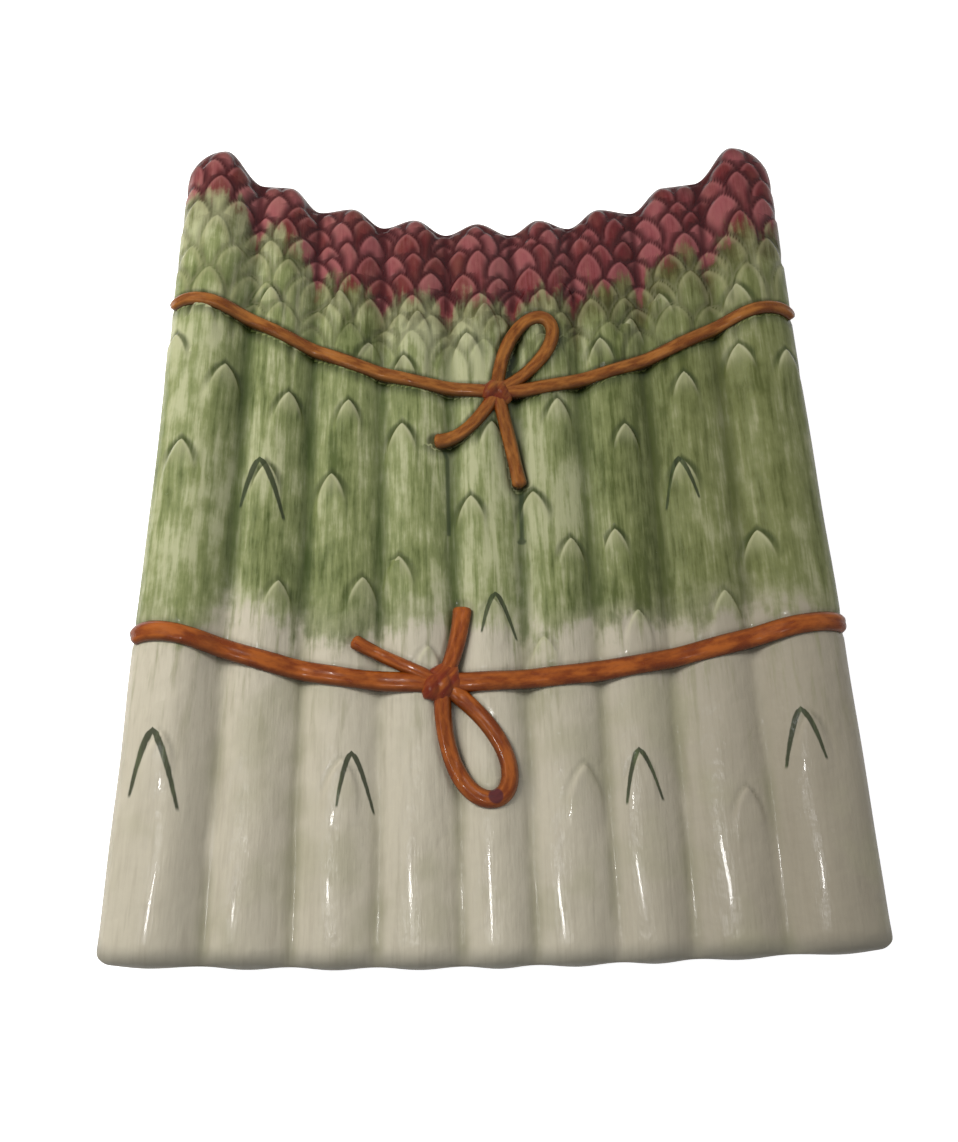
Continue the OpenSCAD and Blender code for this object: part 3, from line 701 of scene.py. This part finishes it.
def bundle_glaze():
    coat = Coat("painted_glaze")
    lay = coat.attribute("lay", "Vector")
    share = coat.attribute("length_share")
    wine_at, groove = coat.attribute("wine"), coat.attribute("groove")
    rim_in, rim_gap, tone = coat.attribute("rim_in"), coat.attribute("rim_gap"), coat.attribute("tone")
    below, above = coat.attribute("cord_below"), coat.attribute("cord_above")
    right = coat.attribute("right")
    edge_in, top, run_off = coat.attribute("edge_in"), coat.attribute("top"), coat.attribute("run_off")
    brush = coat.noise(lay, (9.0, 0.9, 1.0), 4.0, 0.62)
    streak = coat.noise(lay, (26.0, 1.6, 3.0), 3.0, 0.6, (5.0, 4.0, 0.0))
    fine = coat.noise(lay, (40.0, 5.0, 4.0), 2.0, 0.6, (3.0, 1.0, 0.0))
    cloud = coat.noise(lay, (0.9, 0.8, 1.0), 3.0, 0.5, (7.0, 2.0, 0.0))
    mottle = coat.noise(lay, (5.0, 3.6, 3.0), 4.0, 0.6, (1.0, 9.0, 0.0))

    # Bare cream glaze, with faint green left by the brush
    cream = coat.blend(paint(209, 201, 180), paint(186, 177, 157), (brush * 0.5 + streak * 0.5).step(0.42, 0.7) * 0.6)
    # painted shade: the cream darkens towards the right side
    cream = coat.blend(cream, paint(148, 138, 120), right.step(0.0, 0.9) * 0.65)
    cream = coat.blend(cream, paint(176, 172, 142), cloud.step(0.5, 0.68) * 0.45)
    cream = coat.blend(cream, paint(146, 146, 108), brush.step(0.5, 0.72) * share.step(0.16, 0.4) * 0.6)
    # darker in the grooves: partly glaze pooled there, partly painted shade
    cream = coat.blend(cream, paint(140, 137, 106), groove.step(3.6, 0.2) * cloud.step(0.3, 0.6) * 0.55)
    # painted shade: greyer and darker within a few millimetres of the rounded ends
    cream = coat.blend(cream, paint(140, 136, 122), edge_in.step(6.5, 0.0) * 0.7)

    # Green wash: streaks of light and dark, darker in the grooves, partly glaze pooled there and partly painted shade
    wash_tone = brush * 0.55 + streak * 0.2 + mottle * 0.25 + (cloud - 0.5) * 0.4 + coat.attribute("dark")
    green = coat.blend(paint(184, 186, 144), paint(138, 146, 94), wash_tone.step(0.36, 0.52))
    green = coat.blend(green, paint(84, 96, 46), wash_tone.step(0.48, 0.68))
    green = coat.blend(green, paint(58, 72, 28), groove.step(4.0, 0.0) * (0.35 + 0.6 * cloud))
    # painted shade, with a browner tone: the green darkens towards the right side
    green = coat.blend(green, paint(96, 92, 46), right.step(0.0, 0.8) * 0.35)
    wash_line = share + (brush - 0.5) * 0.06 + (cloud - 0.5) * 0.2 + (mottle - 0.5) * 0.07
    wash = wash_line.step(0.355, 0.395) * 0.75 + wash_line.step(0.38, 0.44) * 0.25
    colour = coat.blend(cream, green, wash)

    # Scales on the spears: a painted highlight on the point and just inside the rim, and a dark line painted round it
    leaf_a, leaf_b = coat.attribute("leaf_across"), coat.attribute("leaf_back")
    before = (1 - leaf_b / 0.7).highest(0.0).lowest(1.0)
    width = (1 - before ** 2.0) ** 0.75 + leaf_b.lowest(0.0) * 3.7
    rim = (width - leaf_a.size()) * 4.4
    fresh = leaf_b.step(0.6, 0.12) * coat.attribute("leaf_seen").step(0.85, 1.0)
    strength = fresh * share.step(0.26, 0.44)
    # painted highlight: the scale is lighter near its point and in a band just inside its rim
    glow = rim.step(-0.2, 0.5) * leaf_b.step(0.75, 0.0)
    colour = coat.blend(colour, paint(184, 184, 144), glow * strength * 0.55)
    colour = coat.blend(colour, paint(196, 194, 158), rim.step(0.0, 0.4) * rim.step(1.5, 0.5) * strength * 0.5)
    line = rim.step(-2.6, -0.6) * rim.step(0.5, -0.2) * fresh
    colour = coat.blend(colour, paint(60, 70, 32), line * (0.18 + 0.72 * share.step(0.36, 0.5)) * (0.4 + brush))

    # Olive below the heads, then wine
    turn = wine_at + (mottle - 0.5) * 16 + (brush - 0.5) * 16
    olive = coat.blend(paint(120, 112, 68), paint(74, 66, 28), (brush * 0.7 + mottle * 0.3).step(0.35, 0.6))
    # painted shade: the olive is stronger and darker towards the right side
    colour = coat.blend(colour, olive, turn.step(-20.0, -3.0) * (0.5 + 0.4 * right.step(-0.4, 0.5)))
    wine_tone = (tone * 0.45 + mottle * 0.35 + streak * 0.35).step(0.36, 0.76)
    wine = coat.blend(paint(158, 82, 88), paint(112, 30, 38), wine_tone)
    # painted highlight: a lighter band just inside the rim of each wine scale
    wine = coat.blend(wine, paint(176, 106, 108), rim_in.step(0.2, 0.8) * rim_in.step(2.4, 0.8) * 0.4)
    # painted shade: the wine darkens towards the rounded tip ends
    wine = coat.blend(wine, paint(78, 10, 16), edge_in.step(8.0, 0.5) * 0.7)
    colour = coat.blend(colour, wine, turn.step(-6.0, 2.0) * (0.8 + 0.2 * mottle))
    # painted highlight: a pale band just inside the rims of the scales below the wine
    pale = rim_in.step(0.2, 0.8) * rim_in.step(3.0, 1.0) * share.step(0.72, 0.8) * 0.35
    colour = coat.blend(colour, paint(172, 168, 128), pale * (1 - turn.step(-4.0, 1.0)))

    # Darker between the scales and in the grooves of the heads, partly glaze pooled there and partly painted shade;
    # painted shadow below the cords, a thin dark line along their upper edge, and the two runs of glaze
    pooled = coat.blend(paint(50, 54, 20), paint(56, 2, 6), turn.step(-7.0, 1.0))
    colour = coat.blend(colour, pooled, rim_gap.step(3.0, 0.0) * (0.42 + 0.5 * turn.step(-14.0, 1.0)))
    colour = coat.blend(colour, paint(56, 4, 8), groove.step(2.4, 0.3) * turn.step(-2.0, 5.0) * 0.75)
    # painted shadow below the cords, stronger towards the heads and in the grooves
    under = below.step(4.5, 0.0) * (0.12 + 0.75 * share.step(0.4, 0.6))
    colour = coat.blend(colour, paint(34, 46, 16), under * (0.2 + brush + 0.5 * groove.step(4.0, 0.0)))
    over = above.step(1.6, 0.0) * (0.3 + 0.6 * share.step(0.4, 0.6))
    colour = coat.blend(colour, paint(56, 58, 26), over * (0.35 + brush))
    colour = coat.blend(colour, paint(48, 60, 36), run_off.step(0.5, -0.3) * 0.75)

    # Painted chevrons
    mark_a, mark_b = coat.attribute("mark_across"), coat.attribute("mark_back")
    off = (mark_a.size() - mark_b.highest(0.0) ** 0.64 + (fine - 0.5) * 0.06).size() - mark_b.lowest(0.0) * 3.5
    fat = 0.17 - 0.1 * mark_b
    stroke = (fat - off).step(-0.03, 0.04) * mark_b.step(1.03, 0.95) * coat.attribute("mark_seen").step(0.85, 1.0)
    ink = coat.blend(paint(46, 56, 30), paint(84, 96, 60), brush.step(0.45, 0.7))
    colour = coat.blend(colour, ink, stroke * 0.92)
    colour = coat.blend(paint(198, 190, 170), colour, top)

    ripple = coat.noise(lay, (5.0, 4.0, 3.0), 2.0, 0.5, (11.0, 6.0, 0.0))
    height = fine * 0.12 + streak * 0.15 + brush * 0.3 + mottle * 0.2 + ripple * 0.8
    bump = coat.node("Bump", None, 0.8, 0.0006, None, height)
    rough = 0.2 + 0.1 * mottle
    surface = coat.node("BsdfPrincipled", None, Base_Color=colour, Roughness=rough, Normal=bump,
                        Coat_Weight=0.3, Coat_Roughness=0.05, IOR=1.5)
    return coat.finish(surface)


# A swept cord: rounded ribbon on the skin, with rings across a plan route
def cord_piece(name, material, start=0.0, blunt=False):
    route, w, h = CORDS[name]
    steps = np.concatenate([[0], np.cumsum(np.hypot(*np.diff(route, axis=0).T))])
    heading = unit(np.gradient(route, axis=0))
    left = np.stack([-heading[:, 1], heading[:, 0]], -1)
    seed = hash_share(len(name), len(route)) * 9
    width = w * (1 + 0.025 * np.sin(steps / 7.3 + seed) + 0.012 * np.sin(steps / 2.9 + 2 * seed))
    tall = h * (0.95 + 0.05 * np.sin(steps / 6.7 + 3 * seed))
    if blunt:
        back = steps[-1] - steps
        width = width * (1 + 0.1 * np.exp(-(back / 5) ** 2)) * (1 - 0.6 * arc(np.clip(1 - back / 1.6, 0, 1)))
        tall = tall * (1 - 0.85 * arc(np.clip(1 - back / 1.8, 0, 1)))
    shares = np.linspace(-1, 1, 17)
    ribbon = (1 - np.abs(shares) ** 3.2) * 0.84 + 0.16 - 0.1 * np.exp(-((shares - 0.1) / 0.3) ** 2)
    rings, across, run = [], [], []
    for c, z in zip(shares, ribbon):
        place = route + left * (c * width / 2)[:, None]
        rings.append(stand_off(place[:, 0], place[:, 1], tall * z, BRIDGE))
        across.append(np.full(len(route), c))
        run.append(steps)
    for c in (1.0, -1.0):
        place = route + left * (c * width / 2 * 0.96)[:, None]
        rings.append(stand_off(place[:, 0], place[:, 1], 0 * tall - 0.7, 0))
        across.append(np.full(len(route), c * 1.2))
        run.append(steps)
    points = np.stack(rings, 1)
    if "band" in name:
        spread = np.exp(-(np.arange(-9, 10) / 4.5) ** 2)
        padded = np.pad(points[:, :17, 2], ((9, 9), (0, 0)), "edge")
        smooth = sum(padded[i:i + len(route)] * f for i, f in enumerate(spread / spread.sum()))
        inward = 1 - step(np.abs(points[:, :17, 0]), 78.0, 90.0)
        points[:, :17, 2] = mix(points[:, :17, 2], smooth, inward)
    points[..., 2] = np.minimum(points[..., 2], cad_box[1][2] / MM)
    n, m = points.shape[:2]
    faces = []
    for i in range(n - 1):
        for j in range(m):
            a, b = i * m + j, i * m + (j + 1) % m
            faces.append((a, b, b + m, a + m))
    faces.append(tuple(range(m))[::-1])
    faces.append(tuple((n - 1) * m + j for j in range(m)))
    spot = np.hypot(points[..., 0] - LOOP_SPOT[0], points[..., 1] - LOOP_SPOT[1])
    attributes = {"across": np.stack(across, 1).ravel(), "run": np.stack(run, 1).ravel() / 10,
                  "spot": spot.ravel(), "knot": np.stack([np.exp(-(steps / 6.0) ** 2)] * m, 1).ravel()}
    return make_piece(name + "_glazed", points.reshape(-1, 3), faces, attributes, material, [name])


def cord_glaze(name, light, dark, deep):
    coat = Coat(name)
    across, run = coat.attribute("across"), coat.attribute("run")
    place = coat.node("CombineXYZ", None, across, run, 0.0)
    flow = coat.noise(place, (0.8, 1.0, 1.0), 4.0, 0.6)
    strands = coat.noise(place, (2.2, 0.5, 1.0), 3.0, 0.6, (2.0, 5.0, 0.0))
    colour = coat.blend(light, dark, (flow * 1.0 + strands * 0.15 - across * 0.06).step(0.42, 0.72))
    # painted shade: the cord darkens towards both edges, over a wider band on one side
    colour = coat.blend(colour, deep, across.step(0.4, 1.05) * 0.75)
    colour = coat.blend(colour, paint(112, 26, 12), coat.attribute("knot") * flow.step(0.3, 0.6) * 0.7)
    colour = coat.blend(colour, deep, (across * -1).step(0.8, 1.15) * 0.75)
    colour = coat.blend(colour, paint(84, 34, 44), coat.attribute("spot").step(2.6, 1.9) * 0.9)
    bump = coat.node("Bump", None, 0.25, 0.0003, None, strands * 0.2 + flow)
    surface = coat.node("BsdfPrincipled", None, Base_Color=colour, Roughness=0.2 + 0.12 * flow, Normal=bump,
                        Coat_Weight=0.4, Coat_Roughness=0.05, IOR=1.48)
    return coat.finish(surface)


# A knot: short turns of cord wrapped over each other, welded into one skin
def knot_piece(name, place, turns, r, h, material, node):
    verts, faces = [], []
    for centre, heading, reach, rise, fat in turns:
        n, m = 22, 14
        base = len(verts)
        c, s = math.cos(math.radians(heading)), math.sin(math.radians(heading))
        for i in range(n):
            f = i / (n - 1)
            bow = 4 * f * (1 - f)
            mid = np.array(place) + np.array(centre) + (f - 0.5) * reach * np.array([c, s])
            ground = stand_off(np.array(mid[0]), np.array(mid[1]), np.array(0.0), BRIDGE)
            radius = r * fat * (0.6 + 0.4 * math.sqrt(max(bow, 0)))
            for j in range(m):
                a = 2 * math.pi * j / m
                side, up = math.cos(a) * radius, math.sin(a) * radius * 0.72
                verts.append((ground[0] - s * side, ground[1] + c * side, ground[2] + rise * bow + up))
        for i in range(n - 1):
            for j in range(m):
                a, b = base + i * m + j, base + i * m + (j + 1) % m
                faces.append((a, b, b + m, a + m))
        faces.append(tuple(base + j for j in range(m))[::-1])
        faces.append(tuple(base + (n - 1) * m + j for j in range(m)))
    mesh = bpy.data.meshes.new(name + "_rough")
    mesh.from_pydata([tuple(float(v) * MM for v in p) for p in verts], [], faces)
    rough = bpy.data.objects.new(name + "_rough", mesh)
    bpy.context.scene.collection.objects.link(rough)
    weld = rough.modifiers.new("weld", "REMESH")
    weld.mode, weld.voxel_size = "VOXEL", 0.00032
    soft = rough.modifiers.new("soft", "SMOOTH")
    soft.factor, soft.iterations = 0.5, 6
    made = bpy.data.meshes.new_from_object(rough.evaluated_get(bpy.context.evaluated_depsgraph_get()))
    points = np.array([v.co for v in made.vertices]) / MM
    faces = [tuple(f.vertices) for f in made.polygons]
    bpy.data.objects.remove(rough)
    attributes = {
        "across": np.clip((points[:, 1] - place[1]) / 9, -1, 0.4),
        "run": (points[:, 0] - points[:, 1] * 0.7) / 5,
        "spot": np.full(len(points), 9.0),
        "knot": np.ones(len(points)),
    }
    return make_piece(name + "_glazed", points, faces, attributes, material, [node])


# Foot ring: a rounded section swept round a rounded oblong, wiped bare where it stands
def foot():
    back_y, front_y = FOOT_BACK - PLATE_L / 2, PLATE_L / 2 - TIP_SAG - FOOT_FRONT
    corners = []
    for side, y, start in ((1, back_y, -90), (1, front_y, 0), (-1, front_y, 90), (-1, back_y, 180)):
        x = WELL_SHARE * float(half_w(along(y))) - FOOT_INSET - FOOT_CORNER_R
        inward = FOOT_CORNER_R if y == back_y else -FOOT_CORNER_R
        corners.append((side * x, y + inward, start))
    outline = []
    for i, (cx, cy, start) in enumerate(corners):
        for a in np.radians(start + np.linspace(0, 90, 15)):
            outline.append((cx, cy, math.cos(a), math.sin(a)))
        nx, ny, turn = corners[(i + 1) % 4]
        a = math.radians(start + 90)
        for f in np.linspace(0, 1, 16)[1:-1]:
            outline.append((mix(cx, nx, f), mix(cy, ny, f), math.cos(a), math.sin(a)))
    section = [(0.0, 6.2), (0.1, 3.0), (0.45, 1.2), (1.2, 0.35), (2.3, 0.04), (3.7, 0.04),
               (4.8, 0.35), (5.55, 1.2), (5.9, 3.0), (6.0, 6.2)]
    points, bare = [], []
    for cx, cy, ax, ay in outline:
        for d, z in section:
            r = FOOT_CORNER_R - d * FOOT_W / 6
            points.append((cx + ax * r, cy + ay * r, z))
            bare.append(z)
    n, m = len(outline), len(section)
    faces = []
    for i in range(n):
        for j in range(m):
            a, b = i * m + j, i * m + (j + 1) % m
            c, d = ((i + 1) % n) * m + (j + 1) % m, ((i + 1) % n) * m + j
            faces.append((a, b, c, d))
    coat = Coat("foot_glaze")
    z = coat.attribute("height")
    place = coat.node("TexCoord", None, out=3)
    grain = coat.noise(place, (900.0, 900.0, 900.0), 3.0, 0.6)
    glazed = coat.blend(paint(202, 194, 174), paint(186, 178, 158), grain.step(0.3, 0.7))
    clay = coat.blend(paint(196, 176, 148), paint(170, 150, 124), grain.step(0.35, 0.75))
    wiped = (z + (grain - 0.5) * 0.5).step(1.4, 0.9)
    bump = coat.node("Bump", None, 0.3, 0.0002, None, grain * wiped)
    surface = coat.node("BsdfPrincipled", None, Base_Color=coat.blend(glazed, clay, wiped),
                        Roughness=0.2 + 0.6 * wiped, Normal=bump, IOR=1.5)
    return make_piece("foot_ring_glazed", np.array(points), faces, {"height": np.array(bare)},
                      coat.finish(surface), ["foot_ring"])


def build():
    points, faces, attributes = bundle()
    make_piece("spears_glazed", points, faces, attributes, bundle_glaze(), ["spear_bundle"])
    upper = cord_glaze("upper_cord_glaze", paint(166, 104, 42), paint(118, 62, 14), paint(62, 32, 6))
    lower = cord_glaze("lower_cord_glaze", paint(176, 94, 30), paint(128, 56, 8), paint(76, 28, 4))
    for name in ("upper_band_left", "upper_band_right", "upper_loop"):
        cord_piece(name, upper)
    for name in ("upper_tail_left", "upper_tail_right"):
        cord_piece(name, upper, blunt=True)
    for name in ("lower_band_left", "lower_band_right", "lower_loop"):
        cord_piece(name, lower)
    for name in ("lower_tail_left", "lower_tail_up"):
        cord_piece(name, lower, blunt=True)
    knot_piece("upper_knot", UPPER_KNOT, [
        ((-2.0, 0.4), 62, 7.6, 1.0, 1.1), ((1.6, 0.2), 118, 7.2, 0.7, 1.0), ((3.2, -1.2), 100, 5.0, 0.2, 0.9),
        ((-0.4, 1.9), 14, 8.6, 0.6, 0.85), ((0.2, -2.1), -20, 8.4, 0.5, 0.85)],
        1.95, 3.0, upper, "upper_knot")
    knot_piece("lower_knot", LOWER_KNOT, [
        ((-3.2, -1.4), 78, 8.4, 0.9, 1.25), ((0.2, -0.4), 104, 9.4, 1.2, 1.15), ((3.4, 1.0), 112, 8.0, 0.7, 1.0),
        ((0.6, 3.3), 8, 9.0, 0.7, 0.95), ((-2.2, -3.6), -24, 8.4, 0.6, 1.0), ((-0.6, 4.0), 30, 5.0, 0.4, 0.8)],
        2.25, 3.6, lower, "lower_knot")
    foot()


# Camera: where the photograph was taken from, 394 mm from the middle of the plate
def camera():
    elevation, yaw, roll = math.radians(74.0), math.radians(-4.47), math.radians(3.5)
    away = Vector((math.sin(yaw) * math.cos(elevation), -math.cos(yaw) * math.cos(elevation), math.sin(elevation)))
    forward = -away
    right = forward.cross(Vector((0, 0, 1))).normalized()
    up = right.cross(forward)
    side = math.cos(roll) * right + math.sin(roll) * up
    above = -math.sin(roll) * right + math.cos(roll) * up
    data = bpy.data.cameras.new("camera")
    data.sensor_fit, data.sensor_width, data.lens = "HORIZONTAL", 36.0, 46.97
    data.clip_start, data.clip_end = 0.01, 20.0
    cam = bpy.data.objects.new("camera", data)
    target = Vector((-3.1, -15.2, 15.0)) * MM
    place = target + away * 0.394
    turn = Matrix((side, above, away)).transposed().to_4x4()
    cam.matrix_world = Matrix.Translation(place) @ turn
    bpy.context.scene.collection.objects.link(cam)
    bpy.context.scene.camera = cam


def lamp(name, place, aim, size, watts, colour=(1, 1, 1), soft=False):
    data = bpy.data.lights.new(name, "AREA")
    data.shape, data.size, data.size_y = "RECTANGLE", size[0], size[1]
    data.energy, data.color = watts, colour
    obj = bpy.data.objects.new(name, data)
    obj.location = place
    obj.visible_glossy = not soft
    obj.rotation_mode = "QUATERNION"
    obj.rotation_quaternion = (Vector(aim) - Vector(place)).to_track_quat("-Z", "Y")
    bpy.context.scene.collection.objects.link(obj)


def stage():
    floor_mesh = bpy.data.meshes.new("floor")
    floor_mesh.from_pydata([(-6, -6, 0), (6, -6, 0), (6, 6, 0), (-6, 6, 0)], [], [(0, 1, 2, 3)])
    coat = Coat("pale_floor")
    ray = coat.node("LightPath")
    diffuse = coat.node("BsdfDiffuse", None, (0.86, 0.86, 0.86, 1.0))
    glow = coat.node("Emission", None, (1.0, 1.0, 1.0, 1.0), 0.85)
    lit = coat.node("AddShader", None, diffuse, glow)
    floor_mesh.materials.append(coat.finish(coat.node("MixShader", None, ray, diffuse, lit)))
    floor = bpy.data.objects.new("floor", floor_mesh)
    bpy.context.scene.collection.objects.link(floor)
    world = bpy.data.worlds.new("room")
    world.use_nodes = True
    world.node_tree.nodes["Background"].inputs[0].default_value = (0.95, 0.97, 1.0, 1.0)
    world.node_tree.nodes["Background"].inputs[1].default_value = 0.24
    bpy.context.scene.world = world
    lamp("left_window", (-0.4, 0.2, 0.42), (0, 0, 0), (0.22, 0.4), 2.6, (1.0, 0.98, 0.94), soft=True)
    lamp("right_window", (0.7, 0.3, 0.5), (0, 0, 0), (0.4, 0.6), 1.0, (1.0, 0.97, 0.93), soft=True)
    lamp("overhead", (-0.24, -0.1, 0.8), (0, -0.05, 0), (0.035, 0.06), 0.36)
    lamp("ceiling", (-0.5, 0.7, 1.0), (0, 0, 0), (0.3, 0.3), 1.6, soft=True)
    bpy.context.scene.view_settings.view_transform = "Standard"


camera()
build()
stage()
